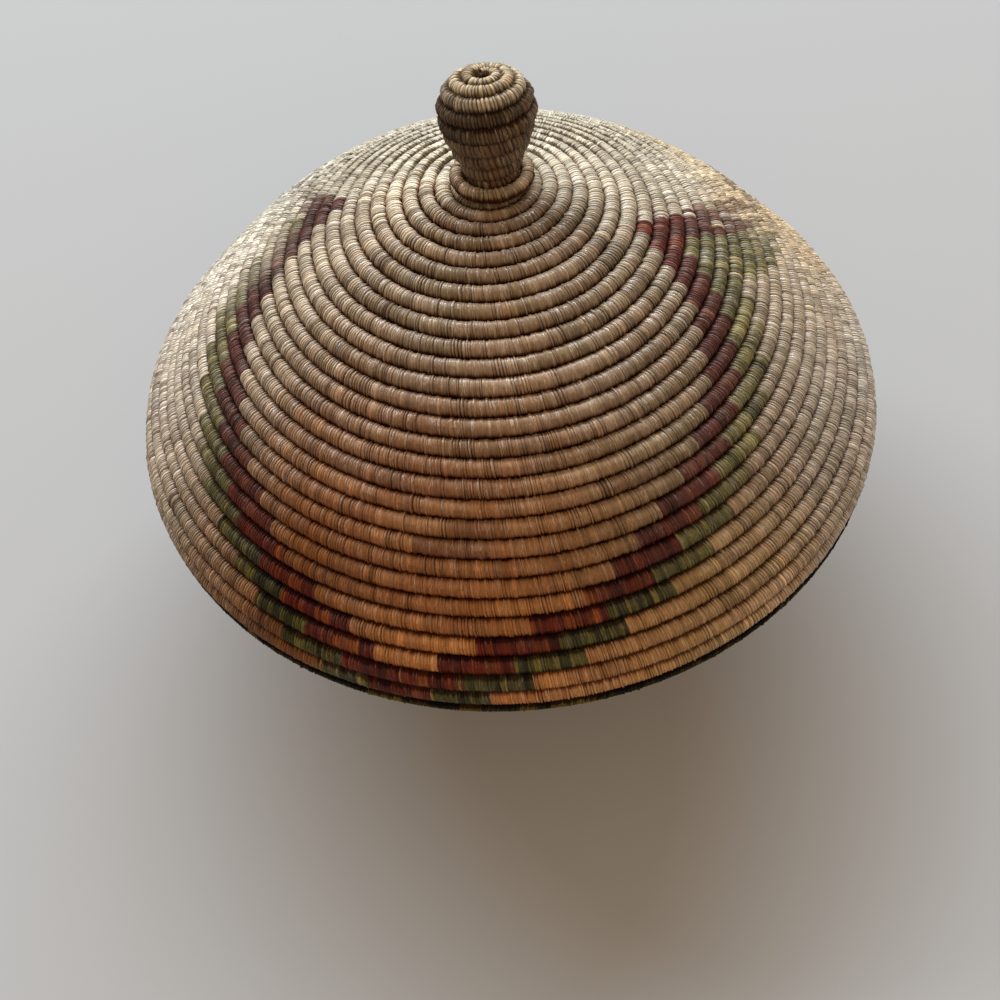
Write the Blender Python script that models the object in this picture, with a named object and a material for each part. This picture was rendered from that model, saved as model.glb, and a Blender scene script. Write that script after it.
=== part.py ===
"""A lidded coiled basket: a domed lid with a knob, which lifts off a bowl that stands on a coiled foot.

Each shell is one bundle of grass, wrapped with strips and wound in a spiral from its centre to its rim, so
both of its faces are rows of round coil. Metres, +Z up. The origin is on the floor under the middle, and
the side that is looked at faces -Y. Seen from above the coils run outwards clockwise.
"""

import math

import bmesh
import bpy
import numpy as np

# Driving dimensions, in metres
COIL = 0.0070  # one row of the lid to the next, away from the finer rows at the centre
BULGE = 0.0017  # a full coil's crest stands this far above the grooves on each side of it
NECK = 0.0036  # thickness of a shell from groove to groove
CENTRE_RADIUS = 0.0040  # where the spiral starts
CENTRE_FINENESS = 0.34  # how much narrower the first row is, as a share of a full row
CENTRE_ROWS = 4.8  # rows over which the coil grows to its full width
FOOT_RADIUS = 0.058  # middle of the foot's coils, at the top
FOOT_COIL = 0.0065  # height of one coil of the foot
FOOT_SPLAY = 0.0014  # each coil of the foot is this much wider than the one above
COLLAR_STAND = 0.0085  # the collar stands this far above the bowl's rim, inside the lid
COIL_HALF_NECK = 0.0017  # half the thickness of the foot and the collar, at their grooves
COIL_HALF_CREST = 0.0029  # and at their crests
COIL_FLAT = (0.3, 0.7)  # a stacked coil's crest runs between these shares of its height
KNOB_RING_TUBE = 0.0026  # radius of the coil round the knob's foot
KNOB_BULGE = 0.0014  # the knob's coils above their grooves, on its head
KNOB_STEM_BULGE = 0.0006  # and on its stem, which is pulled tighter
KNOB_ASIDE = 0.0014  # the knob isn't quite in the middle: it stands this far towards +X
KNOB_LEAN = 0.15  # and its head leans back by this angle, in radians
SEAT_GAP = 0.0003  # pieces that rest on each other
COLLAR_CLEARANCE = 0.0010  # the collar inside the lid

# Counts
SEGMENTS = 32  # columns of facets round a shell
START = 0.25  # the spirals start and end at the front, as a share of a turn clockwise from +X
KNOB_SEGMENTS = 20
OUTSIDE_CREST = (0, 1, 1)  # points across one coil, starting in its groove: 1 is on its crest
INSIDE_CREST = (0, 1)
FOOT_COILS = 2
COLLAR_COILS = 3

# Slope below the horizontal, in degrees, at a row counted from the centre: arcs that join smoothly
LID_SLOPES = ((0, 0), (2, 3), (4, 16), (13, 33), (23, 49), (26.5, 46), (29, 90))
# The same above the horizontal, for the bowl: a flat floor, a rounded corner, a flaring wall, a rim
BOWL_SLOPES = ((0, 0), (10, 0), (14, 43), (24, 48), (26.7, 44), (28, 90))
# The knob's grooves from its top hole down to its foot: radius, and height above the foot
KNOB_GROOVES = (
    (0.0024, 0.0392),
    (0.0070, 0.0399),
    (0.0112, 0.0380),
    (0.0143, 0.0344),
    (0.0159, 0.0296),
    (0.0164, 0.0240),
    (0.0145, 0.0174),
    (0.0118, 0.0114),
    (0.0099, 0.0056),
    (0.0080, 0.0),
)
KNOB_HOLE_DEPTH = 0.006
KNOB_HEAD_ROWS = 5  # rows of the knob that have full round coils
SHARP_STEP = 50  # edges between facets that turn by more degrees than this are drawn sharp
SKIPPED_ROWS = 2  # the lid's plain inner face has a ring of points at every second row

# Colours of the dry strips, in linear values
STRAW = (0.42, 0.28, 0.16, 1.0)
STRAW_SHADE = (0.33, 0.22, 0.13, 1.0)
DYED_GREEN = (0.035, 0.045, 0.020, 1.0)


def full_share(row):
    """How wide the coil is at a row, as a share of its full width. It is finer near the centre."""
    return 1 - CENTRE_FINENESS * np.exp(-row / CENTRE_ROWS)


class Meridian:
    """The groove line from the centre of a wound shell to its rim, by row number."""

    STEPS = 40  # points along each row

    def __init__(self, slopes, rises, coil=None, reach=None):
        stations, degrees = zip(*slopes)
        self.rises = rises
        self.rows = stations[-1]
        self.row = np.linspace(0, self.rows, self.STEPS * self.rows + 1)
        self.slope = np.radians(np.interp(self.row, stations, degrees))
        width = full_share(self.row)
        across = self.summed(width * np.cos(self.slope))
        self.coil = coil or (reach - CENTRE_RADIUS) / across[-1]
        self.radius = CENTRE_RADIUS + self.coil * across
        self.height = rises * self.coil * self.summed(width * np.sin(self.slope))

    def summed(self, values):
        between = (values[1:] + values[:-1]) / 2
        return np.concatenate([[0], np.cumsum(between)]) / self.STEPS

    def point(self, row, out):
        """(radius, height) at a row, this far outwards from the groove line."""
        radius, height, slope = (
            np.interp(row, self.row, line) for line in (self.radius, self.height, self.slope)
        )
        return radius + out * math.sin(slope), height - self.rises * out * math.cos(slope)

    def inner_row_at(self, radius):
        """The row at which the inner face's crests reach this radius, counted from the rim down."""
        for row in self.row[::-1]:
            if self.point(row, -NECK - BULGE)[0] <= radius:
                return row
        return 0.0


def spot(radius, turn, height):
    """A point this far round, clockwise from +X as seen from above."""
    angle = -2 * math.pi * turn
    return radius * math.cos(angle), radius * math.sin(angle), height


def wound_face(bm, segments, rows, crests, point_at):
    """Adds one face of a spiral shell and returns its closed outer edge and its stepped inner edge.

    Each column of points starts further along the spiral than the one before, so that the last column
    joins the first one a row further out. The last row is drawn in to nothing, as the coil's end tapers.
    """
    points = len(crests)
    last = points * rows
    columns = []
    for j in range(segments):
        turn = j / segments
        column = []
        for k in range(last + 1):
            into_last = max(0.0, k / points - (rows - 1))
            row = k / points + turn - into_last * turn
            radius, height = point_at(row, crests[k % points] * (1 - turn if into_last else 1))
            column.append(bm.verts.new(spot(radius, START + turn, height)))
        columns.append(column)
    first = columns[0]
    columns.append([first[min(k + points, last)] for k in range(last + 1)])
    for left, right in zip(columns, columns[1:]):
        for k in range(last):
            corners = [left[k], right[k], right[k + 1], left[k + 1]]
            bm.faces.new(list(dict.fromkeys(corners)))
    outer = [column[last] for column in columns[:-1]]
    inner = [column[0] for column in columns[:-1]] + first[points:0:-1]
    return outer, inner


def plain_face(bm, segments, rings):
    """Adds a smooth turned face through rings given as (radius, height), and returns its outermost ring."""
    loops = [
        [bm.verts.new(spot(radius, START + j / segments, height)) for j in range(segments)]
        for radius, height in rings
    ]
    for inside, outside in zip(loops, loops[1:]):
        join_rings(bm, inside, outside)
    return loops[-1], loops[0]


def join_rings(bm, one, other):
    for j in range(len(one)):
        k = (j + 1) % len(one)
        bm.faces.new((one[j], one[k], other[k], other[j]))


def close_centre(bm, ring, height):
    """Closes a ring with a fan to a point on the axis."""
    middle = bm.verts.new((0, 0, height))
    for corner, following in zip(ring, ring[1:] + ring[:1]):
        bm.faces.new((middle, following, corner))


def finished(name, bm, colour, roughness, parent):
    """Makes the object: outward normals, smooth shading with sharp steps, its own material."""
    bmesh.ops.recalc_face_normals(bm, faces=bm.faces)
    mesh = bpy.data.meshes.new(name)
    bm.to_mesh(mesh)
    bm.free()
    mesh.shade_smooth()
    mesh.set_sharp_from_angle(angle=math.radians(SHARP_STEP))
    material = bpy.data.materials.new(name)
    material.use_nodes = True
    shader = material.node_tree.nodes["Principled BSDF"]
    shader.inputs["Base Color"].default_value = colour
    shader.inputs["Roughness"].default_value = roughness
    shader.inputs["Metallic"].default_value = 0.0
    mesh.materials.append(material)
    thing = bpy.data.objects.new(name, mesh)
    thing.parent = parent
    bpy.context.scene.collection.objects.link(thing)
    return thing


def empty(name, height):
    thing = bpy.data.objects.new(name, None)
    thing.location = (0, 0, height)
    bpy.context.scene.collection.objects.link(thing)
    return thing


def turned(name, outline, segments, colour, roughness, parent):
    """A ring turned from a closed outline of (radius, height) points."""
    bm = bmesh.new()
    corners = [bm.verts.new((radius, 0, height)) for radius, height in outline]
    edges = [bm.edges.new(pair) for pair in zip(corners, corners[1:] + corners[:1])]
    bmesh.ops.spin(
        bm, geom=corners + edges, cent=(0, 0, 0), axis=(0, 0, 1), angle=2 * math.pi, steps=segments, use_merge=True
    )
    return finished(name, bm, colour, roughness, parent)


def stacked_coils(radii, coil, bottom):
    """The outline of coils wound one on another, with flat ends. radii are their middles, from below."""
    middles = [radii[0]] + [(one + other) / 2 for one, other in zip(radii, radii[1:])]
    line = []
    for i, radius in enumerate(radii):
        line.append((middles[i], COIL_HALF_NECK if i else COIL_HALF_CREST, bottom + i * coil))
        line += [(radius, COIL_HALF_CREST, bottom + (i + share) * coil) for share in COIL_FLAT]
    line.append((radii[-1], COIL_HALF_NECK, bottom + len(radii) * coil))
    outer = [(middle + half, height) for middle, half, height in line]
    inner = [(middle - half, height) for middle, half, height in line]
    return outer + inner[::-1]


def make_lid_dome(lid, parent):
    """The lid's coil: ribbed outside, and a plain face inside that the collar slides under."""
    bm = bmesh.new()

    def outside(row, crest):
        return lid.point(row, crest * BULGE * full_share(row))

    edge, centre = wound_face(bm, SEGMENTS, lid.rows, OUTSIDE_CREST, outside)
    close_centre(bm, centre, lid.point(0, BULGE / 2)[1])
    rings = [lid.point(row, -NECK - BULGE) for row in range(1, lid.rows, SKIPPED_ROWS)]
    rings.append(lid.point(lid.rows, -NECK))
    inside, hub = plain_face(bm, SEGMENTS, rings)
    close_centre(bm, hub, rings[0][1])
    join_rings(bm, edge, inside)
    return finished("lid_dome", bm, STRAW, 0.7, parent)


def make_bowl(bowl, rows, parent):
    """The bowl's coil, ribbed on both faces, up to the dyed rim coil."""
    bm = bmesh.new()
    end = rows - SEAT_GAP / 2 / bowl.coil

    def outside(row, crest):
        return bowl.point(min(row, end), crest * BULGE * full_share(row))

    def inside(row, crest):
        return bowl.point(min(row, end), -NECK - crest * BULGE * full_share(row))

    outer_edge, outer_centre = wound_face(bm, SEGMENTS, rows, OUTSIDE_CREST, outside)
    close_centre(bm, outer_centre, bowl.point(0, BULGE / 2)[1])
    inner_edge, inner_centre = wound_face(bm, SEGMENTS, rows, INSIDE_CREST, inside)
    close_centre(bm, inner_centre, bowl.point(0, -NECK - BULGE / 2)[1])
    join_rings(bm, outer_edge, inner_edge)
    return finished("bowl", bm, STRAW, 0.7, parent)


def make_rim_coil(bowl, parent):
    """The bowl's last coil, wrapped in dyed strips. The lid's edge rests on its flat top."""
    start = bowl.rows - 1 + SEAT_GAP / 2 / bowl.coil
    rows = [start, start + COIL_FLAT[0], bowl.rows - COIL_FLAT[0], bowl.rows]
    bulges = [0, BULGE, BULGE, 0]
    outline = [bowl.point(row, bulge) for row, bulge in zip(rows, bulges)]
    outline += [bowl.point(row, -NECK - bulge) for row, bulge in zip(rows[::-1], bulges)]
    return turned("bowl_rim_coil", outline, SEGMENTS, DYED_GREEN, 0.65, parent)


def make_collar(lid, bowl, rim_height, parent):
    """The collar inside the rim. It stands up into the lid and keeps it from sliding sideways."""
    near_edge = [lid.point(row, -NECK - BULGE) for row in np.linspace(lid.rows - 2, lid.rows, 41)]
    seam = lid.point(lid.rows, 0)[1]
    lid_inside = min(radius for radius, height in near_edge if height - seam <= COLLAR_STAND)
    middle = lid_inside - COLLAR_CLEARANCE - COIL_HALF_CREST
    wall_row = bowl.inner_row_at(middle + COIL_HALF_CREST + SEAT_GAP)
    bottom = bowl.point(wall_row, -NECK - BULGE)[1] + SEAT_GAP
    coil = (rim_height + COLLAR_STAND - bottom) / COLLAR_COILS
    outline = stacked_coils([middle] * COLLAR_COILS, coil, bottom)
    return turned("lid_seat_collar", outline, SEGMENTS, STRAW_SHADE, 0.7, parent)


def make_foot(parent):
    radii = [FOOT_RADIUS + (FOOT_COILS - 1 - i) * FOOT_SPLAY for i in range(FOOT_COILS)]
    return turned("foot_ring", stacked_coils(radii, FOOT_COIL, 0.0), SEGMENTS, STRAW_SHADE, 0.7, parent)


def make_knob(foot_height, parent):
    """The knob: its own coil, wound from the hole in its head down to a flat foot, and bent a little back."""
    bm = bmesh.new()
    grooves = len(KNOB_GROOVES)
    radii, heights = zip(*KNOB_GROOVES)

    def point_at(row, crest):
        radius = np.interp(row, range(grooves), radii)
        height = np.interp(row, range(grooves), heights)
        before = np.interp(row - 0.5, range(grooves), radii), np.interp(row - 0.5, range(grooves), heights)
        after = np.interp(row + 0.5, range(grooves), radii), np.interp(row + 0.5, range(grooves), heights)
        along = (after[0] - before[0], after[1] - before[1])
        length = math.hypot(*along)
        out = crest * (KNOB_BULGE if row < KNOB_HEAD_ROWS else KNOB_STEM_BULGE)
        return radius - along[1] / length * out, foot_height + height + along[0] / length * out

    foot, head = wound_face(bm, KNOB_SEGMENTS, grooves - 1, OUTSIDE_CREST, point_at)
    close_centre(bm, head, foot_height + heights[0] - KNOB_HOLE_DEPTH)
    close_centre(bm, foot, foot_height)
    for vertex in bm.verts:
        height = vertex.co.z - foot_height
        angle = KNOB_LEAN * height / heights[1]
        vertex.co.z -= vertex.co.y * math.sin(angle)
        vertex.co.y += angle * height / 2
    return finished("knob", bm, STRAW, 0.7, parent)


def make_knob_ring(foot_height, parent):
    """The coil that is laid round the knob's foot and stitched down to the crown."""
    sides = 8
    lower, upper = KNOB_GROOVES[-1], KNOB_GROOVES[-2]
    flare = math.hypot(upper[0] - lower[0], upper[1] - lower[1]) / (upper[1] - lower[1])
    middle = (lower[0] + upper[0]) / 2 + flare * (KNOB_STEM_BULGE + SEAT_GAP + KNOB_RING_TUBE)
    outline = []
    for i in range(sides):
        angle = 2 * math.pi * (i + 0.5) / sides
        outline.append(
            (middle + KNOB_RING_TUBE * math.cos(angle), foot_height + KNOB_RING_TUBE * (1 + math.sin(angle)))
        )
    return turned("knob_foot_ring", outline, KNOB_SEGMENTS, STRAW, 0.7, parent)


def build():
    for thing in list(bpy.data.objects):
        bpy.data.objects.remove(thing)
    lid = Meridian(LID_SLOPES, -1, coil=COIL)
    bowl = Meridian(BOWL_SLOPES, 1, reach=lid.radius[-1])
    bowl_height = FOOT_COILS * FOOT_COIL + SEAT_GAP + BULGE
    rim_height = bowl.height[-1]
    seam = bowl_height + rim_height + SEAT_GAP
    base = empty("base", 0)
    bowl_place = empty("bowl_place", bowl_height)
    bowl_place.parent = base
    lid_place = empty("lid_lift", seam - lid.height[-1])
    lid_place.parent = base

    make_foot(base)
    make_bowl(bowl, bowl.rows - 1, bowl_place)
    make_rim_coil(bowl, bowl_place)
    make_collar(lid, bowl, rim_height, bowl_place)
    make_lid_dome(lid, lid_place)
    crown = max(lid.point(row, BULGE * full_share(row))[1] for row in (0, 0.5, 1, 1.5, 2)) + SEAT_GAP
    knob_place = empty("knob_place", 0)
    knob_place.location.x = KNOB_ASIDE
    knob_place.parent = lid_place
    make_knob(crown, knob_place)
    make_knob_ring(crown, knob_place)


build()
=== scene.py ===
import math

import bpy
import numpy as np
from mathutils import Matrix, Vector


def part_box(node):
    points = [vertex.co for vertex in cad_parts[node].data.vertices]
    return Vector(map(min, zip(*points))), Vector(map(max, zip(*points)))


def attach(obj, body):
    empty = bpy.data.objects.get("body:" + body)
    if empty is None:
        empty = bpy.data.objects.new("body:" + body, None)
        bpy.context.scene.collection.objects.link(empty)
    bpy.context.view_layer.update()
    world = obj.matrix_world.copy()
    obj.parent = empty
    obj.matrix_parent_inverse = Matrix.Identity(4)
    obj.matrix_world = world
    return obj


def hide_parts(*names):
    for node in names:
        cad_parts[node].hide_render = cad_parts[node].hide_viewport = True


# A round coiled basket with a domed lid and a knob, as it stands on a pale floor.
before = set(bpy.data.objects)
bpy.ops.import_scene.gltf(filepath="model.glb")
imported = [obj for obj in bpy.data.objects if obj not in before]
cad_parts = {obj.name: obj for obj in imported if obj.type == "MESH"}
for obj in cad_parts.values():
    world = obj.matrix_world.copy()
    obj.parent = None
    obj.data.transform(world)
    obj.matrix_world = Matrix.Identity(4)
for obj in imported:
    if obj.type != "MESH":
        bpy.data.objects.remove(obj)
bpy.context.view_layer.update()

# The bowl is one bundle of dry grass, wrapped in narrow strips of palm leaf and wound in a spiral from the
# middle of its floor to its rim. Each strip also catches the row before, which holds the rows together.
NECK = 0.0036  # thickness of the shell from groove to groove
BULGE = 0.0017  # the rows stand this far above the grooves on each side
CENTRE_RADIUS = 0.0040
CENTRE_FINENESS = 0.34  # the first row is this much narrower, as a share of a full row
CENTRE_ROWS = 4.8  # the rows widen over about this many
START = 0.25  # the spirals start at the front, as a share of a turn clockwise from +X
BOWL_SLOPES = ((0, 0), (10, 0), (14, 43), (24, 48), (26.7, 44), (28, 90))  # row and degrees from level
BOWL_ROWS = 27  # the rim coil is one more
STRIP = 0.00112  # usual width of a strip of leaf
SNUG = 1.02  # rows are this much wider than their spacing, because they press into each other
SLANT = 0.00042  # a strip leans this far along the row as it crosses from groove to groove
STEP_AT = 0.5  # near the rim the rows run level and step down to the next one at the back
STEP_TURNS = 0.10  # and half the length of that step, in turns
LEVEL_ROWS = 9  # the last rows, over which the spiral turns level
COIL_END = 0.59  # where a coil ends in its last turn: its step down to the rim is almost done there
UNEVEN_ROWS = 0.012  # how far a groove strays from its line, as a share of a row
PLUMPER = 0.012  # how much the coil's thickness varies along it
WIDE_STRIP = 0.0014  # on the coils that are seen less closely


def full_share(row):
    """How wide the coil is at a row, as a share of its full width."""
    return 1 - CENTRE_FINENESS * np.exp(-np.asarray(row) / CENTRE_ROWS)


def smooth(x):
    """0 up to 0, 1 from 1 on, and an even curve between."""
    x = np.clip(x, 0.0, 1.0)
    return x * x * (3 - 2 * x)


class Meridian:
    """The groove line of a wound shell from its centre to its rim, by row number."""

    STEPS = 40

    def __init__(self, slopes, rises, reach):
        stations, degrees = zip(*slopes)
        self.rises = rises
        self.rows = stations[-1]
        self.row = np.linspace(-1, self.rows, self.STEPS * (self.rows + 1) + 1)
        self.slope = np.radians(np.interp(self.row, stations, degrees))
        width = full_share(self.row)
        across = self.summed(width * np.cos(self.slope))
        across -= across[self.STEPS]
        self.coil = (reach - CENTRE_RADIUS) / across[-1]
        self.radius = CENTRE_RADIUS + self.coil * across
        self.height = rises * self.coil * self.summed(width * np.sin(self.slope))

    def summed(self, values):
        between = (values[1:] + values[:-1]) / 2
        return np.concatenate([[0], np.cumsum(between)]) / self.STEPS

    def at(self, row):
        """Radius and height, the way out of the surface and the coil's width, at rows from the centre."""
        radius, height, slope = (
            np.interp(row, self.row, line) for line in (self.radius, self.height, self.slope)
        )
        out = np.stack([np.sin(slope), -self.rises * np.cos(slope)], -1)
        return np.stack([radius, height], -1), out, self.coil * full_share(row)


def level(turn, rows):
    """The row of the groove at a turn of the spiral. It runs evenly, but turns level towards the rim."""
    whole = np.floor(turn)
    stepped = whole + smooth((turn - whole - STEP_AT + STEP_TURNS) / (2 * STEP_TURNS))
    share = smooth((turn - rows + LEVEL_ROWS) / (LEVEL_ROWS - 2))
    return turn + share * (stepped - turn)


def wavy(turn, rng, size):
    """The slow unevenness of handwork, which differs from row to row."""
    beats = rng.uniform(1.3, 11.7, 7)
    shifts = rng.uniform(0, 2 * math.pi, 7)
    waves = np.sin(2 * math.pi * np.multiply.outer(turn, beats) + shifts) / np.sqrt(beats)
    return size * waves.sum(-1)


def shell_path(line, rows, seed):
    """A function that says where the coil of a shell is at a turn: its middle, the ways out of the surface
    and on to the next row, and half its width and thickness."""

    def path(turn):
        plump, waves, same_waves = (np.random.default_rng(seed + k) for k in (0, 1, 1))
        inner = level(turn, rows)
        outer = level(turn + 1, rows)
        inner = inner + wavy(turn, waves, UNEVEN_ROWS) * smooth(rows - inner)
        outer = np.minimum(outer + wavy(turn + 1, same_waves, UNEVEN_ROWS) * smooth(rows - outer), rows)
        middle, out, width = line.at((inner + outer) / 2)
        taken = np.clip(outer - inner, 0.02, None)
        thick = (NECK / 2 + BULGE) * np.sqrt(full_share(inner)) * np.minimum(1, 0.25 + 0.75 * taken)
        onward = -line.rises * np.stack([out[:, 1], -out[:, 0]], -1)
        thick = thick * (1 + wavy(turn, plump, PLUMPER))
        return middle - out * NECK / 2, out, onward, SNUG * width * taken / 2, thick

    return path


class Tones:
    """Colours of the strips. One leaf gives a run of strips of one tone, and each strip differs a little."""

    def __init__(self, seed, count):
        self.rng = np.random.default_rng(seed)
        self.count = count

    def runs(self, shortest, longest):
        """A random number from 0 to 1 for each strip, alike along each leaf's run of strips."""
        lengths = self.rng.integers(shortest, longest, self.count // shortest + 2)
        return np.repeat(self.rng.random(len(lengths)), lengths)[: self.count]

    def pick(self, palette, shortest, longest):
        """Colours from a palette, blended between its neighbours, alike along each run."""
        places = range(len(palette))
        place = self.runs(shortest, longest) * places[-1]
        return np.stack([np.interp(place, places, channel) for channel in np.transpose(palette)], -1)

    def uneven(self, colours, size):
        return colours * self.rng.normal(1, size, (self.count, 1)).clip(0.55, 1.5)

    def worn_and_lit(self, colours, looser=0.0, shaded=0.0, bleached_and_lit=0.0):
        """Adds how loosely each strip lies by its neighbour, how far painted shade darkens its upper side,
        and how strongly that side is painted lighter, as a painted highlight with some paling in the sun."""
        gaping = self.rng.random(self.count) < 0.12 + 0.40 * self.runs(4, 26) ** 3
        loose = self.rng.gamma(1.2, 0.07, self.count)
        loose = loose + gaping * self.rng.uniform(0.25, 1.0, self.count) + looser
        same = np.ones(self.count)
        return np.column_stack([colours, loose, shaded * same, bleached_and_lit * same])


NATURAL = (
    (0.215, 0.083, 0.022),
    (0.270, 0.107, 0.028),
    (0.320, 0.131, 0.037),
    (0.370, 0.163, 0.050),
    (0.300, 0.114, 0.028),
    (0.420, 0.205, 0.075),
)


def natural_strips(turn, seed):
    tones = Tones(seed, len(turn))
    return tones.worn_and_lit(tones.uneven(tones.pick(NATURAL, 5, 34), 0.10), bleached_and_lit=0.4)


RING = np.radians([0, 28, 54, 78, 108, 145, 180, 215, 252, 282, 306, 332])  # closest together by the grooves
RIDGES = ((0.0, -1.0), (0.24, 1.0), (0.76, 0.4))  # places across a strip, and how far it stands up there
FEWER_RIDGES = ((0.0, -1.0), (0.5, 0.9))  # on the coils that are seen less closely
RIDGE = 0.00034  # how far the ridges stand up on a loose strip
FINE_STEPS = 240  # steps in a turn, to measure along the coil
RAGGED = 0.00019  # usual unevenness of the strips' edges in the grooves
COLUMN_TO_GIRTH = 0.019  # length of a column of the mesh over the coil's girth


def wrapped(name, path, turns, colours, seed, strip=STRIP, ridge=RIDGE, lean=SLANT, ridges=RIDGES, bend=None,
            pieces=1):
    """A coil as closed tubes, one for each piece, with every strip on it: its ridges, lean and tone."""
    rng = np.random.default_rng(seed)
    # strips of uneven width are laid edge to edge along the coil's measured length
    fine = np.linspace(turns[0], turns[1], int(FINE_STEPS * (turns[1] - turns[0])) + 2)
    middle = path(fine)[0]
    steps = 2 * math.pi * (middle[1:, 0] + middle[:-1, 0]) / 2 * np.diff(fine)
    along = np.concatenate([[0], np.cumsum(steps)])
    widths = strip * rng.gamma(22, 1 / 22, int(1.2 * along[-1] / strip) + 9)
    ends = np.concatenate([[0], np.cumsum(widths)])
    ends = ends[ends < along[-1]]
    count = len(ends) - 1
    widths = widths[:count]
    tints = colours(np.interp(ends[:-1], along, fine))

    # each strip stands up along its ridges, tips a little to one side and is ragged in the grooves
    shares, heights = np.array(ridges).T
    places = (ends[:-1, None] + widths[:, None] * shares).ravel()
    numbers = (np.arange(count)[:, None] + shares).ravel()
    tall = ridge * (0.10 + 0.9 * tints[:, 3:4].clip(0, 0.8)) * rng.gamma(6, 1 / 6, (count, 1)).clip(0.4, 1.8)
    tipped = (tall + 0.12 * ridge) * rng.normal(0, 1.0, (count, 1)).clip(-1.6, 1.6) * (shares - 0.5)
    rise = (tall * heights + tipped).ravel()
    turn = np.interp(places, along, fine)
    middle, out, onward, half_width, half_thick = path(turn)
    ragged = np.repeat(rng.normal(0, RAGGED, (count, 2)).clip(-0.0004, 0.0004), len(shares), 0)
    side = np.sin(RING)
    near_groove = np.abs(side) ** 3
    lift = rise[:, None] + near_groove * np.where(side > 0, ragged[:, :1], ragged[:, 1:])
    outwards = (half_thick[:, None] + lift) * np.cos(RING)
    sideways = (half_width[:, None] + lift * np.minimum(1, half_width / 0.002)[:, None]) * side

    # the section goes round the basket, and the strips lean as they cross from groove to groove
    radius = middle[:, :1] + outwards * out[:, :1] + sideways * onward[:, :1]
    height = middle[:, 1:] + outwards * out[:, 1:] + sideways * onward[:, 1:]
    leaning = -lean * side * np.where(np.cos(RING) > 0, 1, 0.4)
    own = 1 + np.repeat(rng.uniform(-0.3, 0.3, count), len(shares))
    angle = -2 * math.pi * (START + turn)[:, None] - leaning * own[:, None] / np.maximum(radius, 0.003)
    points = np.stack([radius * np.cos(angle), radius * np.sin(angle), height], -1)
    if bend:
        points = bend(points, turn)
    cuts = [round(k * (len(turn) - 1) / pieces) for k in range(pieces + 1)]
    names = [f"{name}_{k + 1}" for k in range(pieces)] if pieces > 1 else [name]
    return [tube(*each, points, numbers, tints) for each in zip(names, cuts[:-1], cuts[1:])]


def tube(name, first, last, points, numbers, tints):
    """One closed stretch of a wrapped coil, with its strips' tones, its strip map and a map for baking."""
    points = points[first : last + 1]
    columns, ring = points.shape[:2]
    grid = np.arange(columns * ring).reshape(columns, ring)
    following = np.roll(grid, -1, 1)
    quads = np.stack([grid[:-1], grid[1:], following[1:], following[:-1]], -1).reshape(-1, 4)
    corner, beside, along = points[0, 0], points[0, 1], points[1, 0]
    way = -1 if np.cross(along - corner, beside - corner) @ (corner - points[0].mean(0)) < 0 else 1
    corners = np.concatenate([quads[:, ::way].ravel(), grid[0][::-way], grid[-1][::way]])
    mesh = bpy.data.meshes.new(name)
    mesh.vertices.add(columns * ring)
    mesh.vertices.foreach_set("co", points.ravel())
    mesh.loops.add(len(corners))
    mesh.loops.foreach_set("vertex_index", corners)
    mesh.polygons.add(len(quads) + 2)
    starts = np.append(np.arange(len(quads) + 1) * 4, len(quads) * 4 + ring)
    mesh.polygons.foreach_set("loop_start", starts)
    mesh.update(calc_edges=True)

    # the strip map counts strips along the coil, and goes from 0 to 1 round it
    column = np.repeat(np.arange(columns - 1), ring)
    place = np.tile(np.arange(ring), columns - 1)
    step = np.array([0, 1, 1, 0])[::way]
    around = np.array([0, 0, 1, 1])[::way]
    turned = np.append(RING, 2 * math.pi)[place[:, None] + around] / (2 * math.pi)
    strips = np.stack([numbers[first + column[:, None] + step], turned], -1)

    # the baking map lays the stretch in bands, one above the other, and the two ends in the gap below them
    bands = max(1, round(math.sqrt((columns - 1) * COLUMN_TO_GIRTH)))
    each = math.ceil((columns - 1) / bands)
    band, across = np.divmod(column, each)
    bake = np.stack([(across[:, None] + step) / each, (band[:, None] + 0.03 + 0.94 * turned) / bands], -1)
    round_end = np.stack([0.008 * np.cos(RING), (0.015 + 0.012 * np.sin(RING)) / bands], -1)
    ends = np.concatenate([round_end + (0.01, 0), round_end + (0.03, 0)])
    for label, uv, at_ends in (("strips", strips, 0 * ends), ("OFBake", bake, ends)):
        uv = np.concatenate([uv.reshape(-1, 2), at_ends])
        mesh.uv_layers.new(name=label).data.foreach_set("uv", uv.ravel())

    strip = np.floor(numbers[first + column] + 0.001).astype(int)
    shades = np.concatenate([tints[strip], tints[[strip[0], strip[-1]]]])
    for label, values in (("tint", shades[:, :3]), ("wear_and_light", shades[:, 3:])):
        mesh.attributes.new(label, "FLOAT_VECTOR", "FACE").data.foreach_set("vector", values.ravel())
    mesh.shade_smooth()
    thing = bpy.data.objects.new(name, mesh)
    bpy.context.scene.collection.objects.link(thing)
    return thing


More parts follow.
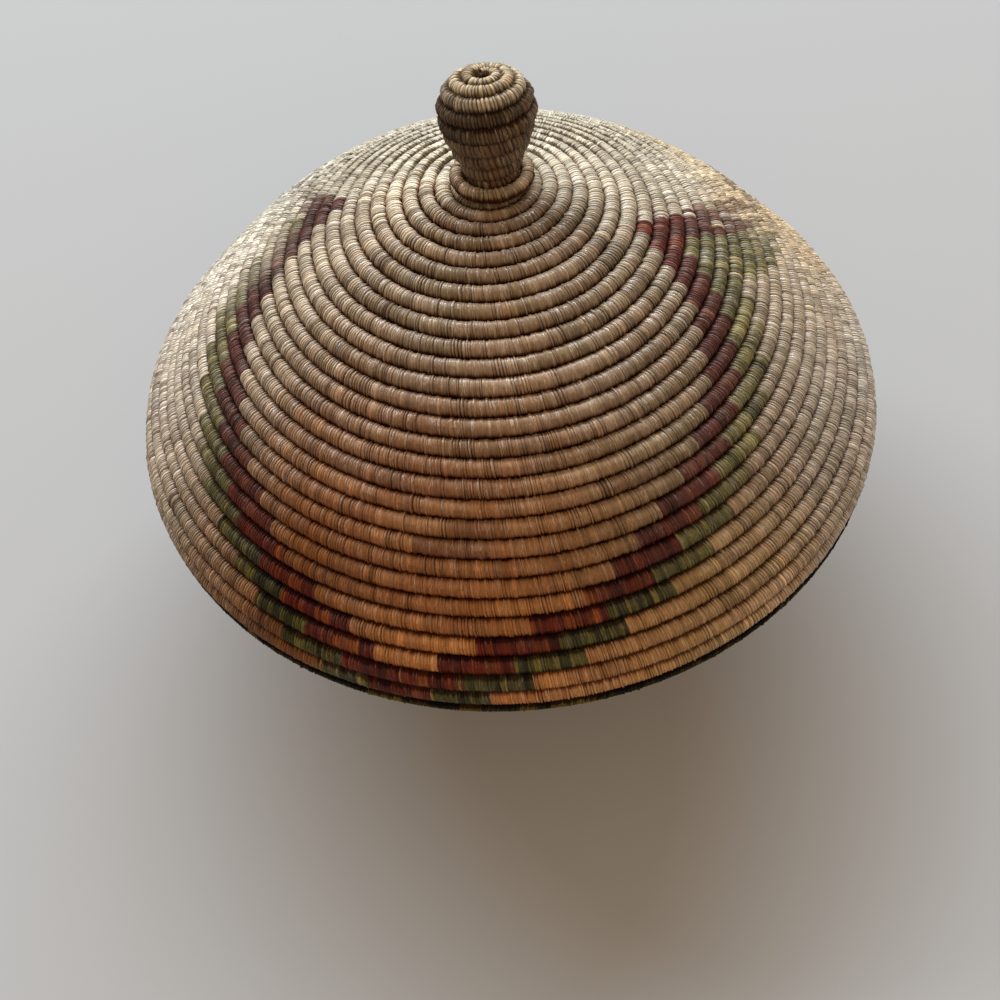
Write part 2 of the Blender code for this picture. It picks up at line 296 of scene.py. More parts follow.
class Shade:
    """One output of a node. Python's operators on it add Math nodes."""

    def __init__(self, tree, output):
        self.tree = tree
        self.output = output

    def node(self, kind, settings, inputs, output=0):
        """Adds a node, with its settings and then its sockets' values or links, and gives one output."""
        made = self.tree.nodes.new(kind)
        for name, value in settings.items():
            setattr(made, name, value)
        for name, value in inputs.items():
            if isinstance(value, Shade):
                self.tree.links.new(value.output, made.inputs[name])
            else:
                made.inputs[name].default_value = value
        return Shade(self.tree, made.outputs[output])

    def math(self, operation, *others):
        values = dict(enumerate((self, *others)))
        return self.node("ShaderNodeMath", {"operation": operation}, values)

    def __add__(self, other):
        return self.math("ADD", other)

    def __sub__(self, other):
        return self.math("SUBTRACT", other)

    def __rsub__(self, other):
        return self.node("ShaderNodeMath", {"operation": "SUBTRACT"}, {0: other, 1: self})

    def __mul__(self, other):
        return self.math("MULTIPLY", other)

    def __abs__(self):
        return self.math("ABSOLUTE")

    __radd__ = __add__
    __rmul__ = __mul__

    def fraction(self):
        return self.math("FRACT")

    def whole(self):
        return self.math("FLOOR")

    def between(self, low, high):
        """0 below low, 1 above high, and smooth between."""
        ends = {"Value": self, "From Min": low, "From Max": high}
        return self.node("ShaderNodeMapRange", {"interpolation_type": "SMOOTHSTEP"}, ends)

    def mix(self, colour, share, blend="MIX"):
        """This colour mixed with another."""
        settings = {"data_type": "RGBA", "blend_type": blend}
        return self.node("ShaderNodeMix", settings, {0: share, 6: self, 7: colour}, 2)

    def grey(self, value):
        """A colour made of one number, to multiply another with."""
        return self.node("ShaderNodeCombineColor", {}, {0: value, 1: value, 2: value})


def new_material(name):
    """An empty node material and a Shade to start its nodes from."""
    material = bpy.data.materials.new(name)
    material.use_nodes = True
    material.node_tree.nodes.clear()
    return material, Shade(material.node_tree, None)


def surface(start, inputs):
    """Ends a material in a Principled shader."""
    shader = start.node("ShaderNodeBsdfPrincipled", {}, inputs)
    end = start.tree.nodes.new("ShaderNodeOutputMaterial")
    start.tree.links.new(shader.output, end.inputs["Surface"])


def leaf_strips(name, upper=-0.9, roughness=0.40, dirt_and_shade=0.92):
    """Strips of dried palm leaf: fine ribs along each, thin dark lines between them, and dark grooves that
    are partly soiling and partly painted shade. The side of the coil that faces up is painted lighter, as a
    painted highlight with some paling in the sun, and upper says which one that is; the other side is painted
    darker and warmer, as painted shade."""
    material, start = new_material(name)
    tint = start.node("ShaderNodeAttribute", {"attribute_name": "tint"}, {})
    wear_and_light = start.node("ShaderNodeAttribute", {"attribute_name": "wear_and_light"}, {}, 1)
    loose, shaded, bleached_and_lit = (start.node("ShaderNodeSeparateXYZ", {}, {0: wear_and_light}, part) for part in range(3))
    strips = start.node("ShaderNodeUVMap", {"uv_map": "strips"}, {})
    along, around = (start.node("ShaderNodeSeparateXYZ", {}, {0: strips}, part) for part in range(2))
    number = along.whole()
    across = along.fraction()
    chance = number.node("ShaderNodeTexWhiteNoise", {"noise_dimensions": "1D"}, {"W": number})
    ribs = start.node(
        "ShaderNodeTexNoise",
        {"noise_dimensions": "2D"},
        {"Vector": start.node("ShaderNodeCombineXYZ", {}, {0: along * 3.4, 1: around * 5.0 + chance * 5.0}),
         "Scale": 1.0, "Detail": 3.0, "Roughness": 0.7},
    )
    blotches = start.node(
        "ShaderNodeTexNoise",
        {"noise_dimensions": "2D"},
        {"Vector": start.node("ShaderNodeCombineXYZ", {}, {0: along * 0.11, 1: around * 3.0}),
         "Scale": 1.0, "Detail": 3.0, "Roughness": 0.65},
    )
    # the grooves between rows, the lines between strips, and the side of the coil that is painted as lit
    edge = abs(across - 0.5) * 2
    side = abs(abs(around - 0.5) * 4 - 1)
    painted_lit_side = (around * 2 * math.pi - upper).math("COSINE") * 0.5 + 0.5
    # band is painted shade: the groove's dark reaches further over the upper side of strips marked as shaded
    band = shaded * painted_lit_side
    toothed = side + ribs * 0.55 + chance * 0.14 - 0.345
    groove = 1 - toothed.between(0.24 - painted_lit_side * 0.14 + band * 0.42, 0.74 - painted_lit_side * 0.28 + band * 0.22)
    painted_sheen = painted_lit_side * painted_lit_side * bleached_and_lit
    low_down = 1.3 - side * 0.6 - painted_lit_side * 0.5
    tick = across.between(0.96 - loose * 0.6 * low_down, 1.0) * (loose * 1.6 - 0.05).between(0.0, 1.0)
    line = edge.between(0.76 - loose * 0.45, 1.0) * (loose * 1.3).math("MINIMUM", 0.9)
    gap = tick.math("MAXIMUM", line * (1 - side * 0.5 * (1 - bleached_and_lit)))
    # painted light and shade: the coil's lit side painted lighter, more where it has also paled in the sun,
    # and painted shade over the upper side of strips that are marked as shaded
    worn_and_lit = (0.52 + painted_lit_side * 0.28 + painted_sheen * 0.42) * (1 - shaded * painted_lit_side * painted_lit_side * (1 - bleached_and_lit) * 0.45)
    # the lines between strips are darker too: partly soiling, partly painted shade in the gaps
    shade = (0.15 + ribs * 1.7) * (1 - gap * 0.45) * (0.88 + chance * 0.20) * (blotches * 0.3 + 0.85) * worn_and_lit
    colour = tint.mix(start.grey(shade), 1.0, "MULTIPLY")
    # painted shade: the coil's unlit side is painted warmer and browner
    colour = colour.mix((1.0, 0.78, 0.52, 1), (1 - painted_lit_side) * (1 - shaded) * (1 - bleached_and_lit * 0.75), "MULTIPLY")
    # painted glints, with some dust: pale flecks mixed in where the lit side is painted lighter
    glints = (ribs * (0.8 + chance * 0.4)).between(0.56, 0.74)
    dust_and_glints = painted_sheen * (0.10 + glints * 0.60 + blotches.between(0.40, 0.75) * 0.16)
    colour = colour.mix((0.76, 0.70, 0.62, 1), dust_and_glints)
    # the grooves and gaps darker, partly soiling and partly painted shade: brown, but plain and dark between
    # pale strips, where each coil's near side is painted in shade
    grime_and_shade = 1 - (1 - groove * dirt_and_shade) * (1 - gap * 0.72)
    plain = (shaded * bleached_and_lit).math("MINIMUM", 1.0)
    colour = colour.mix((0.20, 0.045, 0.009, 1), grime_and_shade * (1 - plain), "MULTIPLY")
    colour = colour.mix((0.17, 0.125, 0.075, 1), grime_and_shade * plain, "MULTIPLY")
    # a dull polish on the ribs that hands have rubbed
    shine = painted_lit_side * bleached_and_lit * (1 - shaded) * (ribs + chance * 0.2).between(0.44, 0.74)
    relief = ribs * 0.35 - gap
    bump = start.node("ShaderNodeBump", {}, {"Strength": 0.8, "Distance": 0.00014, "Height": relief})
    surface(start, {
        "Base Color": colour,
        "Roughness": roughness + ribs * 0.25 + grime_and_shade * 0.3,
        "Specular IOR Level": 0.12,
        "Coat Weight": shine * (1 - grime_and_shade),
        "Coat Roughness": 0.24,
        "Normal": bump,
    })
    return material


def made(things, body, node, slot, material):
    """Finishes pieces: their material, the body they ride on and the node they stand for. The slot is not
    used.
    """
    for thing in things:
        thing.data.materials.append(material)
        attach(thing, body)
        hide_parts(node)


RIM_REACH = 0.15328  # radius of the groove between the lid and the bowl
bowl_line = Meridian(BOWL_SLOPES, 1, RIM_REACH)
bowl_line.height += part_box("bowl_rim_coil")[1].z - bowl_line.height[-1]
dry_leaf = leaf_strips("dry_leaf", upper=0.9)
bowl_path = shell_path(bowl_line, BOWL_ROWS, 11)
bowl_coils = wrapped(
    "bowl_coils", bowl_path, (-1, BOWL_ROWS - 1 + COIL_END), lambda turn: natural_strips(turn, 12), 13,
    strip=WIDE_STRIP, ridges=FEWER_RIDGES, pieces=4,
)
made(bowl_coils, "base", "bowl", "bowl_raffia", dry_leaf)


# The bowl's last coil is wrapped in strips that were dyed almost black with mud, so that it frames the lid.
# A few of its strips stayed olive or ochre where the dye didn't take.
BLACKISH = ((0.014, 0.013, 0.004), (0.028, 0.025, 0.006), (0.060, 0.050, 0.010), (0.018, 0.013, 0.004))
OLIVE = (0.19, 0.14, 0.026)
OLIVE_PLACES = ((81.5, 87.5), (89.5, 91.5), (97, 100), (131, 133))  # degrees clockwise from +X
OLIVE_ELSEWHERE = 0.04  # as a share of the other strips


def ring_path(middle, out, onward, half_width, half_thick, seed):
    """The same for a coil that is laid as one level ring."""

    def path(turn):
        rng = np.random.default_rng(seed)
        same = np.ones((len(turn), 1))
        plump = 1 + wavy(turn, rng, 0.01)
        return same * middle, same * out, same * onward, half_width * plump, half_thick * plump

    return path


def rim_strips(turn):
    tones = Tones(21, len(turn))
    colours = tones.uneven(tones.pick(BLACKISH, 3, 12), 0.25)
    degrees = 360 * (START + turn) % 360
    undyed = (tones.runs(3, 9) < OLIVE_ELSEWHERE)[:, None]
    for low, high in OLIVE_PLACES:
        undyed[(degrees > low) & (degrees < high)] = True
    # its upper side gets the full painted shade
    return tones.worn_and_lit(np.where(undyed, tones.uneven(np.array([OLIVE]), 0.2), colours), 0.2, shaded=1.0)


rim_middle, rim_out, rim_width = bowl_line.at(np.array([BOWL_ROWS + 0.5]))
rim_onward = np.stack([-rim_out[:, 1], rim_out[:, 0]], -1)
rim_path = ring_path(
    rim_middle - rim_out * NECK / 2, rim_out, rim_onward, rim_width / 2, NECK / 2 + BULGE, 22,
)
dyed_leaf = leaf_strips("dyed_leaf", upper=0.9, roughness=0.6)
rim_coil = wrapped("bowl_rim_coil_wound", rim_path, (0.5, 1.5), rim_strips, 23)
made(rim_coil, "base", "bowl_rim_coil", "rim_raffia", dyed_leaf)


# A collar of three rows stands inside the rim. It is wound on itself like the bowl and stitched to the bowl's
# inner face, and it keeps the lid from sliding off.
COLLAR_ROWS = 3
COIL_HALF_CREST = 0.0029  # half the thickness of a coil that is wound straight up
STACK_SNUG = 1.03  # the same as SNUG, for such a coil


def stack_path(low, high, radius_at, rows, half_thick, seed):
    """The same for rows that are wound straight up on one another, from a height to another."""

    def path(turn):
        plump = np.random.default_rng(seed)
        inner, outer = (
            np.clip(np.floor(t) + smooth((t % 1 - STEP_AT + STEP_TURNS) / (2 * STEP_TURNS)), 0, rows)
            for t in (turn, turn + 1)
        )
        row = (inner + outer) / 2
        taken = np.clip(outer - inner, 0.02, None)
        coil = (high - low) / rows
        middle = np.stack([radius_at(row), low + coil * row], -1)
        out = np.ones((len(turn), 1)) * (1, 0)
        onward = np.ones((len(turn), 1)) * (0, 1 if high > low else -1)
        thick = half_thick * np.minimum(1, 0.3 + 0.7 * taken) * (1 + wavy(turn, plump, 0.008))
        return middle, out, onward, STACK_SNUG * abs(coil) * taken / 2, thick

    return path


collar_low, collar_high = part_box("lid_seat_collar")


def collar_radius(row):
    return np.full_like(row, collar_high.x - COIL_HALF_CREST)


collar_path = stack_path(collar_low.z, collar_high.z, collar_radius, COLLAR_ROWS, COIL_HALF_CREST, 31)
collar = wrapped(
    "lid_seat_collar_wound", collar_path, (-COIL_END, COLLAR_ROWS - 1 + COIL_END),
    lambda turn: natural_strips(turn, 32), 33, strip=WIDE_STRIP, ridges=FEWER_RIDGES,
)
made(collar, "base", "lid_seat_collar", "bowl_raffia", dry_leaf)


# The foot is two rows of the same grass and leaf, wound under the bowl's floor and stitched up to it. The
# lower row is a little wider, so that the basket stands firm.
FOOT_ROWS = 2
FOOT_SPLAY = 0.0014  # the lower row stands out this much further
foot_low, foot_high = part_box("foot_ring")


def foot_radius(row):
    """The rows are counted down from the bowl's floor."""
    return foot_high.x - COIL_HALF_CREST - FOOT_SPLAY * np.clip(1.5 - row, 0, 1)


foot_path = stack_path(foot_high.z, foot_low.z, foot_radius, FOOT_ROWS, COIL_HALF_CREST, 41)
foot = wrapped(
    "foot_ring_wound", foot_path, (-COIL_END, FOOT_ROWS - 1 + COIL_END),
    lambda turn: natural_strips(turn, 42), 43, strip=WIDE_STRIP, ridges=FEWER_RIDGES,
)
made(foot, "base", "foot_ring", "bowl_raffia", dry_leaf)


# The lid is wound like the bowl, in 28 rows. Its maker changed to strips dyed red and dark green part of the
# way along each row, and so drew a zigzag of two peaks and two valleys round the dome.
LID_SLOPES = ((0, 0), (2, 3), (4, 16), (13, 33), (23, 49), (26.5, 46), (29, 90))
LID_ROWS = 29  # the knob's foot hides the first of them
KNOB_ASIDE = 0.0014  # the knob stands this far to the right of the middle
FRONT = 360 * START  # degrees clockwise from +X, as all of the lid's degrees are
ZIGZAG_ROWS = (8, 27)  # from the peaks to the valleys
VALLEY_ROWS = (18.5, 5.5)  # the dyes turn to the valleys' colours past this row, over so many rows
# where the outer edge of the red band crosses some of the rows: row and degrees
RIGHT_PEAK_FRONT = ((8, 18.5), (10, 25.5), (13, 35), (16, 48), (19, 65), (22, 81), (24, 97), (26, 107.5))
RIGHT_PEAK_BACK = ((8, 12.5), (10, 2), (12, -7), (14, -12), (16, -18), (20, -39), (24, -61), (26, -73))
LEFT_PEAK_FRONT = (
    (8, 190), (10, 181), (12, 175), (14, 167), (16, 157.5), (18, 148), (20, 137.5), (22, 128.5), (24, 115.5),
    (26, 107.5),
)
LEFT_PEAK_BACK = ((8, 196.5), (11, 208), (16, 232), (20, 253), (24, 275), (26, 287))
# width of each band: row and degrees
RED_WIDTH = ((8, 12), (24, 11.5), (25, 10.5), (26, 8.5), (27, 4))
GREEN_WIDTH = ((8, 12), (13, 12), (15, 14), (17, 14), (21, 10.5), (26, 9.5), (27, 8))
# Leaf tones for the upper rows, and paler ones for the sides and back: partly the leaf's own tone, partly
# painted light, as the window light falls on those rows.
GREYED_AND_LIT = (
    (0.165, 0.106, 0.053),
    (0.220, 0.153, 0.079),
    (0.275, 0.185, 0.114),
    (0.330, 0.238, 0.146),
    (0.195, 0.138, 0.068),
    (0.250, 0.170, 0.106),
    (0.400, 0.310, 0.200),
)
BLEACHED_AND_LIT = (
    (0.66, 0.600, 0.450),
    (0.75, 0.690, 0.535),
    (0.83, 0.770, 0.610),
    (0.60, 0.535, 0.395),
    (0.79, 0.730, 0.575),
)
BRICK = ((0.100, 0.010, 0.004), (0.210, 0.030, 0.012), (0.140, 0.017, 0.007), (0.290, 0.075, 0.034))
MAROON = ((0.060, 0.012, 0.010), (0.140, 0.030, 0.022), (0.092, 0.018, 0.012), (0.190, 0.058, 0.038))
RUST = ((0.085, 0.005, 0.001), (0.220, 0.022, 0.003), (0.130, 0.008, 0.001), (0.350, 0.085, 0.012))
MOSS = ((0.075, 0.070, 0.020), (0.185, 0.172, 0.050), (0.115, 0.106, 0.029), (0.350, 0.310, 0.110))
DARK_MOSS = (
    (0.018, 0.017, 0.003),
    (0.050, 0.048, 0.008),
    (0.150, 0.135, 0.022),
    (0.024, 0.022, 0.003),
    (0.075, 0.071, 0.011),
    (0.240, 0.200, 0.036),
    (0.034, 0.032, 0.005),
)


def at_row(stations, row):
    return np.interp(row, *zip(*stations))


def past(place, start, over):
    """0 up to a place on the lid, 1 from so far past it, and smooth between."""
    return smooth((place - start) / over)


def stretch(place, start, over, end, fade):
    """Rises past one place and falls again past another."""
    return past(place, start, over) * (1 - past(place, end, fade))


def low_left(row, degrees):
    """How far a strip lies low on the left, where the leaf is browner and its upper side is painted less
    light.
    """
    return stretch(degrees, 112, 16, 142, 18) * past(row, 14, 7)


def leaf_colours(tones, turn, row, degrees):
    """The undyed leaf: brown low on the front, greyer above that, and pale at the sides and the back. This is
    partly the leaf's own tone and partly painted light: the pale sides and back stand for the window light on
    them, the brown front for the warm light in front.
    """
    away = abs(degrees - FRONT)
    lower = past(turn, 9, 10)
    brown = lower * (1 - past(abs(degrees - 109), 13, 39))
    brown = (brown + 0.28 * (1 - lower) * (1 - past(abs(degrees - 92), 0, 32)))[:, None]
    colours = brown * tones.pick(NATURAL, 5, 34) + (1 - brown) * tones.pick(GREYED_AND_LIT, 5, 30)
    bleached_and_lit = 0.58 * past(away, 40, 45) * (1 - 0.6 * low_left(row, degrees)) + 0.42 * past(away, 80, 36)
    return colours + bleached_and_lit[:, None] * (tones.pick(BLEACHED_AND_LIT, 4, 24) - colours)


def tone_and_painted_light(colours, row, degrees):
    """Lighter, darker or another hue from place to place. Some shares are painted light and shade, marked
    where they are set; the others only make the leaf lighter, darker or another hue where they lie.
    """
    away = abs(degrees - FRONT)
    # painted light: the left side lighter and, below, the right side darker, as the window light falls more
    # from the left behind
    left = past(degrees, 110, 30) * (1 - past(row, 11, 5) * (1 - past(degrees, 150, 30)))
    left *= 1 - past(degrees, 195, 25)
    right = stretch(degrees, 0, 25, 35, 20)
    # painted light: the low rows at the front lighter, for the light thrown up from the floor and room in
    # front
    low_front_light = stretch(degrees, 30, 28, 94, 30) * past(row, 19, 6)
    back_right = (1 - past(degrees, -22, 22)) * stretch(row, 4, 3, 13, 4)
    back_left = past(degrees, 150, 30) * (1 - past(row, 4, 4))
    upper_left = past(degrees, 165, 20) * stretch(row, 3, 2, 10, 5)
    lighter = 1 + 0.95 * low_front_light + 0.16 * back_left - 0.24 * upper_left
    lighter *= 1 + 0.24 * left - 0.13 * right - 0.22 * back_right
    colours = colours * lighter[:, None]
    # painted shadow: the knob's shade on the first rows in front of it, darker and browner
    painted_knob_shadow = (1 - past(row, 3, 3)) * (1 - past(away, 40, 30))
    left_of_front = stretch(degrees, 92, 18, 132, 20) * past(row, 8, 5) * (1 - 0.8 * past(row, 21, 4))
    low_back_right = stretch(degrees, -62, 14, -15, 12) * past(row, 12, 4)
    low_at_left = stretch(degrees, 155, 20, 215, 20) * past(row, 11, 5)
    low_at_right = stretch(degrees, -5, 15, 38, 14) * past(row, 17, 4)
    right_shoulder = stretch(degrees, -30, 14, 10, 14) * stretch(row, 11, 4, 22, 3)
    side_edge = past(away, 60, 20) * past(row, 20, 5)
    middle_of_front = past(row, 12, 10) * (1 - past(away, 26, 28))
    for share, hue in (
        (painted_knob_shadow, (0.74, 0.64, 0.52)),
        (left_of_front, (0.86, 0.78, 0.68)),
        (low_back_right, (1.0, 0.87, 0.70)),
        (low_at_left, (1.06, 1.10, 1.19)),
        (low_at_right, (1.05, 1.09, 1.20)),
        (right_shoulder, (0.87, 0.80, 0.72)),
        (side_edge, (0.89, 0.88, 0.90)),
        (middle_of_front, (0.95, 0.86, 0.64)),
    ):
        colours *= 1 + np.multiply.outer(share, np.array(hue) - 1)
    return colours


def zigzag(tones, row, degrees):
    """Which strips are red and which green. The green band lies inside the red one at each peak."""
    inside_right = np.minimum(at_row(RIGHT_PEAK_FRONT, row) - degrees, degrees - at_row(RIGHT_PEAK_BACK, row))
    around = np.where(degrees < at_row(LEFT_PEAK_BACK, row) - 360, degrees + 360, degrees)
    inside_left = np.minimum(at_row(LEFT_PEAK_BACK, row) - around, around - at_row(LEFT_PEAK_FRONT, row))
    depth = np.maximum(inside_right, inside_left) + tones.rng.normal(0, 0.25, len(row))
    at_sides = past(-degrees, -6, 12) + past(degrees, 195, 12)
    undyed = 0.35 * at_sides * (1 - 0.9 * past(abs(degrees - FRONT), 135, 12))
    depth = np.where(tones.runs(1, 4) < undyed, -1, depth)
    on_zigzag = (row >= ZIGZAG_ROWS[0]) & (row <= ZIGZAG_ROWS[1]) & (depth > 0)
    red = on_zigzag & (depth < at_row(RED_WIDTH, row))
    green = on_zigzag & ~red & (depth < at_row(RED_WIDTH, row) + at_row(GREEN_WIDTH, row))
    return red, green


def dye_colours(tones, row, degrees):
    """A red and a green for each strip. Both dyes change towards the peaks and the valleys."""
    near_peak = past(-row, -11.5, 2)[:, None]
    near_valley = past(row, *VALLEY_ROWS)[:, None]
    maroon, brick, rust, moss, dark_moss = (
        tones.uneven(tones.pick(palette, 1, longest), 0.24)
        for palette, longest in ((MAROON, 6), (BRICK, 6), (RUST, 6), (MOSS, 5), (DARK_MOSS, 3))
    )
    darker = 1 - 0.5 * past(degrees, 150, 35)[:, None] * near_peak
    red = (maroon + near_peak * (brick - maroon) + near_valley * (rust - maroon)) * darker
    green = (moss + near_valley * (dark_moss - moss)) * (0.4 + 0.6 * darker)
    return red, green


def lid_strips(turn):
    """The strips' colours and wear by their place on the lid."""
    tones = Tones(51, len(turn))
    row = np.floor(turn + 0.5) - 1
    degrees = FRONT + 360 * (turn - 1 - row)
    away = abs(degrees - FRONT)
    colours = tone_and_painted_light(leaf_colours(tones, turn, row, degrees), row, degrees)
    light = (tones.runs(1, 3) < 0.03)[:, None]
    at_side = past(away, 18, 38) * (1 - 0.55 * past(away, 105, 35))
    colours = tones.uneven(np.where(light, colours * 1.4, colours), 0.09 + 0.15 * at_side[:, None])

    red, green = zigzag(tones, row, degrees)
    faded = 0.8 * past(degrees, 172, 18) * past(row, 10, 3) + 0.45 * past(-degrees, -2, 16)
    faded = np.maximum(faded, 0.8 * past(degrees, 198, 10)) * (1 - 0.8 * past(away, 142, 14))
    for where, dyed in zip((red, green), dye_colours(tones, row, degrees)):
        colours = np.where(where[:, None], dyed + faded[:, None] * (colours - dyed), colours)

    near_valley = past(row, *VALLEY_ROWS)
    looser = 0.50 * at_side + 0.20 * past(row, 20, 5)
    # painted shade on the coils' upper sides: a dark band above the dyed rows in the valleys, the near side
    # of each coil at the back, and wider dark grooves above the low front rows
    shaded = np.maximum((red | green) * (0.3 + 0.7 * near_valley), 1.25 * past(away, 95, 45))
    shaded = np.maximum(shaded, 0.45 * near_valley * (1 - 0.8 * at_side))
    # how strongly each coil's upper side is painted lighter, as a painted highlight: most on the upper rows
    # and at the sides, less low on the front, low on the left and on dyed strips
    bleached_and_lit = 1 - 0.68 * past(row, 7, 16) * (1 - at_side) - 0.6 * low_left(row, degrees)
    return tones.worn_and_lit(colours, looser, shaded, bleached_and_lit * (1 - 0.3 * green - 0.6 * red))


lid_leaf = leaf_strips("lid_leaf")
lid_line = Meridian(LID_SLOPES, -1, RIM_REACH)
lid_line.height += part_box("lid_dome")[0].z - lid_line.height[-1]
lid_path = shell_path(lid_line, LID_ROWS, 52)


def off_centre(points, turn):
    """The first rows were wound round the knob, which isn't quite in the middle."""
    return points + np.multiply.outer(KNOB_ASIDE * smooth((6 - turn) / 5), (1, 0, 0))[:, None]


lid_coils = wrapped(
    "lid_coils", lid_path, (-1, LID_ROWS - 1 + COIL_END), lid_strips, 53, bend=off_centre, pieces=6,
)
made(lid_coils, "lid", "lid_dome", "lid_raffia", lid_leaf)


# The knob is a small coil of its own, wound round a hole in its head, over a round shoulder and down to a
# neck. On the neck its rows are pulled tight and the strips show as long upright stitches.
# each groove's radius and its height over the foot, from the hole down
KNOB_GROOVES = (
    (0.0024, 0.0392),
    (0.0070, 0.0399),
    (0.0112, 0.0380),
    (0.0143, 0.0344),
    (0.0159, 0.0296),
    (0.0164, 0.0240),
    (0.0145, 0.0174),
    (0.0118, 0.0114),
    (0.0099, 0.0056),
    (0.0080, 0.0),
)
HEAD_TONES = ((0.20, 0.152, 0.090), (0.31, 0.250, 0.160), (0.12, 0.084, 0.044), (0.43, 0.365, 0.250))
HEAD_FRONT = (0.46, 0.31, 0.18)  # how much of the tones is left on the head's shaded side
HEAD_TOP = 2.4  # and how much paler they are painted on its top, as painted light
STEM_SHADE = (0.42, 0.55, 0.75)  # the neck's strips are painted darker, to this share of their colours, as painted shade on the knob's front
KNOB_BULGE = 0.0014  # the head's rows stand this far above the grooves
KNOB_STEM_BULGE = 0.0004  # and the neck's rows this far
KNOB_HEAD_ROWS = 5  # rows of the head, before the neck
KNOB_SNUG = 1.05  # the same as SNUG, for the knob
KNOB_LEAN = 0.15  # radians, from the foot to the top
knob_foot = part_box("knob_foot_ring")[0].z


def knob_path(turn):
    """The same for the knob's coil."""
    plump = np.random.default_rng(61)
    rows = len(KNOB_GROOVES) - 1
    radii, heights = np.array(KNOB_GROOVES).T
    ends = [np.clip(t, 0, rows) for t in (turn, turn + 1)]
    inner, outer = (
        np.stack([np.interp(row, range(rows + 1), line) for line in (radii, heights)], -1) for row in ends
    )
    along = outer - inner
    length = np.linalg.norm(along, axis=1, keepdims=True).clip(1e-5)
    onward = along / length
    out = np.stack([-onward[:, 1], onward[:, 0]], -1)
    head = smooth((KNOB_HEAD_ROWS - turn) / 1.5)
    bulge = KNOB_STEM_BULGE + head * (KNOB_BULGE - KNOB_STEM_BULGE)
    half = KNOB_SNUG * length[:, 0] / 2
    thick = np.minimum(half + 0.0002, 0.0031) * (1 + wavy(turn, plump, 0.01))
    middle = (inner + outer) / 2 + (0, knob_foot) - out * (thick - bulge)[:, None]
    return middle, out, onward, half, thick


def knob_bend(points, turn):
    """The knob stands a little to one side and its head leans back."""
    x, y, z = np.moveaxis(points, -1, 0)
    above = z - knob_foot
    angle = KNOB_LEAN * above / KNOB_GROOVES[1][1]
    return np.stack([x + KNOB_ASIDE, y + angle * above / 2, z - y * np.sin(angle)], -1)


def head_strips(turn):
    tones = Tones(62, len(turn))
    # painted light and shade: the head's top rows paler as lit, its side rows darker as painted shade
    top = smooth((3.0 - turn) / 1.5)
    front = np.array(HEAD_FRONT)
    colours = tones.uneven(tones.pick(HEAD_TONES, 3, 14) * (front + top[:, None] * (HEAD_TOP - front)), 0.26)
    return tones.worn_and_lit(colours, 0.6, shaded=0.9, bleached_and_lit=0.3 + 0.7 * top)


def stem_strips(turn):
    tones = Tones(64, len(turn))
    paler = (1 + 0.5 * smooth((turn - 6) / 2.5))[:, None]
    colours = tones.uneven(tones.pick(NATURAL, 1, 5) * STEM_SHADE * paler, 0.2)
    return tones.worn_and_lit(colours, 0.55, shaded=0.4, bleached_and_lit=0.25)


knob_head = wrapped(
    "knob_head_wound", knob_path, (-0.55, KNOB_HEAD_ROWS - 0.48), head_strips, 63,
    ridge=0.00036, bend=knob_bend,
)
knob_stem = wrapped(
    "knob_stem_wound", knob_path, (KNOB_HEAD_ROWS - 0.52, len(KNOB_GROOVES) - 1.03), stem_strips, 65,
    strip=WIDE_STRIP, ridge=0.00030, lean=0.0009, bend=knob_bend,
)
made(knob_head, "lid", "knob", "knob_raffia", lid_leaf)
made(knob_stem, "lid", "knob", "knob_raffia", leaf_strips("stem_leaf", dirt_and_shade=0.30))


# One thick coil of grass in pale leaf is laid round the knob's foot and stitched down to the middle of the
# lid. It covers the joint between the two.
STRAW = ((0.30, 0.195, 0.095), (0.46, 0.330, 0.180), (0.23, 0.140, 0.062))
RING_OUT = (0.4, 0.9165)  # the coil's upper side, which leans outwards
RING_TURNS = (0.42, 1.424)  # its ends overlap a little behind the knob


def straw_strips(turn):
    tones = Tones(72, len(turn))
    return tones.worn_and_lit(tones.uneven(tones.pick(STRAW, 3, 9), 0.14), 0.3, bleached_and_lit=0.8)


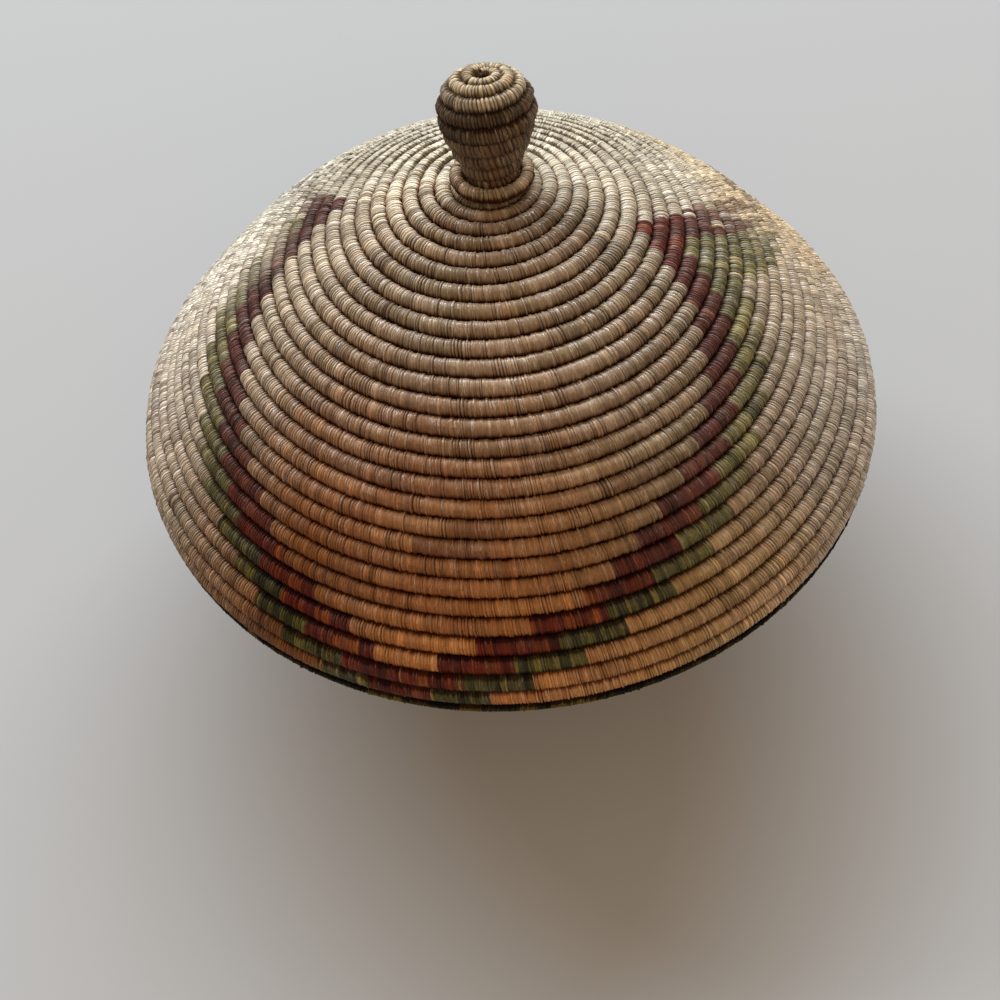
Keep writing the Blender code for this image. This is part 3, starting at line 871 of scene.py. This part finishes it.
ring_low, ring_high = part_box("knob_foot_ring")
ring_radius = (ring_high.x - ring_low.x) / 2
ring_tube = (ring_high.z - ring_low.z) / 2
ring_middle = (ring_radius - ring_tube, ring_low.z + ring_tube)
ring_line = ring_path(ring_middle, RING_OUT, (RING_OUT[1], -RING_OUT[0]), ring_tube, ring_tube, 71)
ring = wrapped(
    "knob_foot_ring_wound", ring_line, RING_TURNS, straw_strips, 73, ridge=0.00026, bend=knob_bend,
)
made(ring, "lid", "knob_foot_ring", "knob_raffia", lid_leaf)


# The basket stands on a plain pale floor, in the soft light of a wide window behind and above it. A weak warm
# lamp stands for the room in front. The camera is where the rows and the lid's outline put it.
bpy.ops.mesh.primitive_plane_add(size=9, location=(0, 0, 0))
floor = bpy.context.object
floor.name = "floor"
paper, paper_start = new_material("floor")
surface(paper_start, {"Base Color": (0.43, 0.435, 0.44, 1), "Roughness": 0.9})
floor.data.materials.append(paper)


def soft_light(name, place, target, size, power, colour):
    """A rectangular lamp that faces a point."""
    lamp = bpy.data.lights.new(name, "AREA")
    lamp.shape = "RECTANGLE"
    lamp.size, lamp.size_y = size
    lamp.energy = power
    lamp.color = colour
    thing = bpy.data.objects.new(name, lamp)
    thing.location = place
    thing.rotation_euler = (Vector(target) - Vector(place)).to_track_quat("-Z", "Y").to_euler()
    bpy.context.scene.collection.objects.link(thing)


soft_light("window_light", (-0.6, 4.0, 4.0), (0, 0, 0.12), (9.6, 0.93), 548, (0.88, 0.98, 1.07))
soft_light("front_light", (0.2, -1.6, 1.3), (0, 0, 0.1), (1.6, 1.6), 8.5, (1.0, 0.76, 0.52))

world = bpy.data.worlds.new("room")
world.use_nodes = True
world.node_tree.nodes["Background"].inputs["Color"].default_value = (0.42, 0.33, 0.245, 1)
bpy.context.scene.world = world
bpy.context.scene.view_settings.view_transform = "Standard"

camera = bpy.data.objects.new("camera", bpy.data.cameras.new("camera"))
camera.data.lens = 41.4
camera.data.sensor_width = 36
camera.location = (0, -0.3355, 0.4685)
camera.rotation_euler = [math.radians(angle) for angle in (35.996, 3.541, -3.508)]
bpy.context.scene.collection.objects.link(camera)
bpy.context.scene.camera = camera
